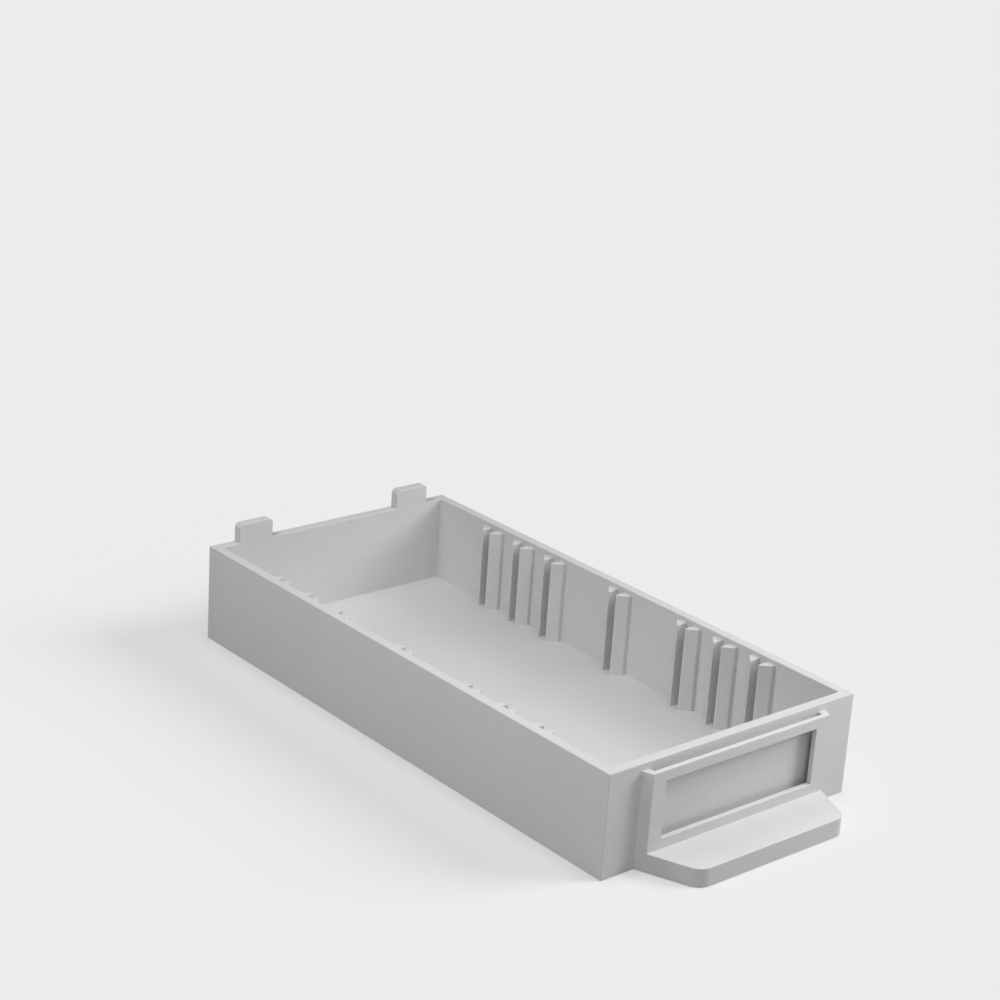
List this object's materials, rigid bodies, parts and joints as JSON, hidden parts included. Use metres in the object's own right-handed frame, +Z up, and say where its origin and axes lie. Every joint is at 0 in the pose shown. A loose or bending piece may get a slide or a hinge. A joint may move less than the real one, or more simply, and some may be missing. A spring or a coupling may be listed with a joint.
{
  "type": "small parts drawer",
  "caption": "Open tray drawer for a small parts cabinet, with ribbed sides for dividers, a label frame, a finger pull and rear stops.",
  "frame": {"origin": "middle of the tray's underside, the face that the drawer rests on", "axes": "+X to the right seen from the front, +Y from the front wall to the rear wall, +Z up; the label frame and the finger pull are at -Y"},
  "size_m": [0.06, 0.1315, 0.024],
  "materials": {
    "printed_plastic": "matte"
  },
  "bodies": {
    "root": {"tray_floor": "printed_plastic", "side_wall_left": "printed_plastic", "side_wall_right": "printed_plastic", "front_wall": "printed_plastic", "rear_wall": "printed_plastic", "divider_rib_left_1_front": "printed_plastic", "divider_rib_left_1_rear": "printed_plastic", "divider_rib_right_1_front": "printed_plastic", "divider_rib_right_1_rear": "printed_plastic", "divider_rib_left_2_front": "printed_plastic", "divider_rib_left_2_rear": "printed_plastic", "divider_rib_right_2_front": "printed_plastic", "divider_rib_right_2_rear": "printed_plastic", "divider_rib_left_3_front": "printed_plastic", "divider_rib_left_3_rear": "printed_plastic", "divider_rib_right_3_front": "printed_plastic", "divider_rib_right_3_rear": "printed_plastic", "divider_rib_left_4_front": "printed_plastic", "divider_rib_left_4_rear": "printed_plastic", "divider_rib_right_4_front": "printed_plastic", "divider_rib_right_4_rear": "printed_plastic", "divider_rib_left_5_front": "printed_plastic", "divider_rib_left_5_rear": "printed_plastic", "divider_rib_right_5_front": "printed_plastic", "divider_rib_right_5_rear": "printed_plastic", "divider_rib_left_6_front": "printed_plastic", "divider_rib_left_6_rear": "printed_plastic", "divider_rib_right_6_front": "printed_plastic", "divider_rib_right_6_rear": "printed_plastic", "divider_rib_left_7_front": "printed_plastic", "divider_rib_left_7_rear": "printed_plastic", "divider_rib_right_7_front": "printed_plastic", "divider_rib_right_7_rear": "printed_plastic", "drawer_stop_left": "printed_plastic", "drawer_stop_right": "printed_plastic", "finger_pull": "printed_plastic", "label_frame": "printed_plastic"}
  },
  "joints": []
}
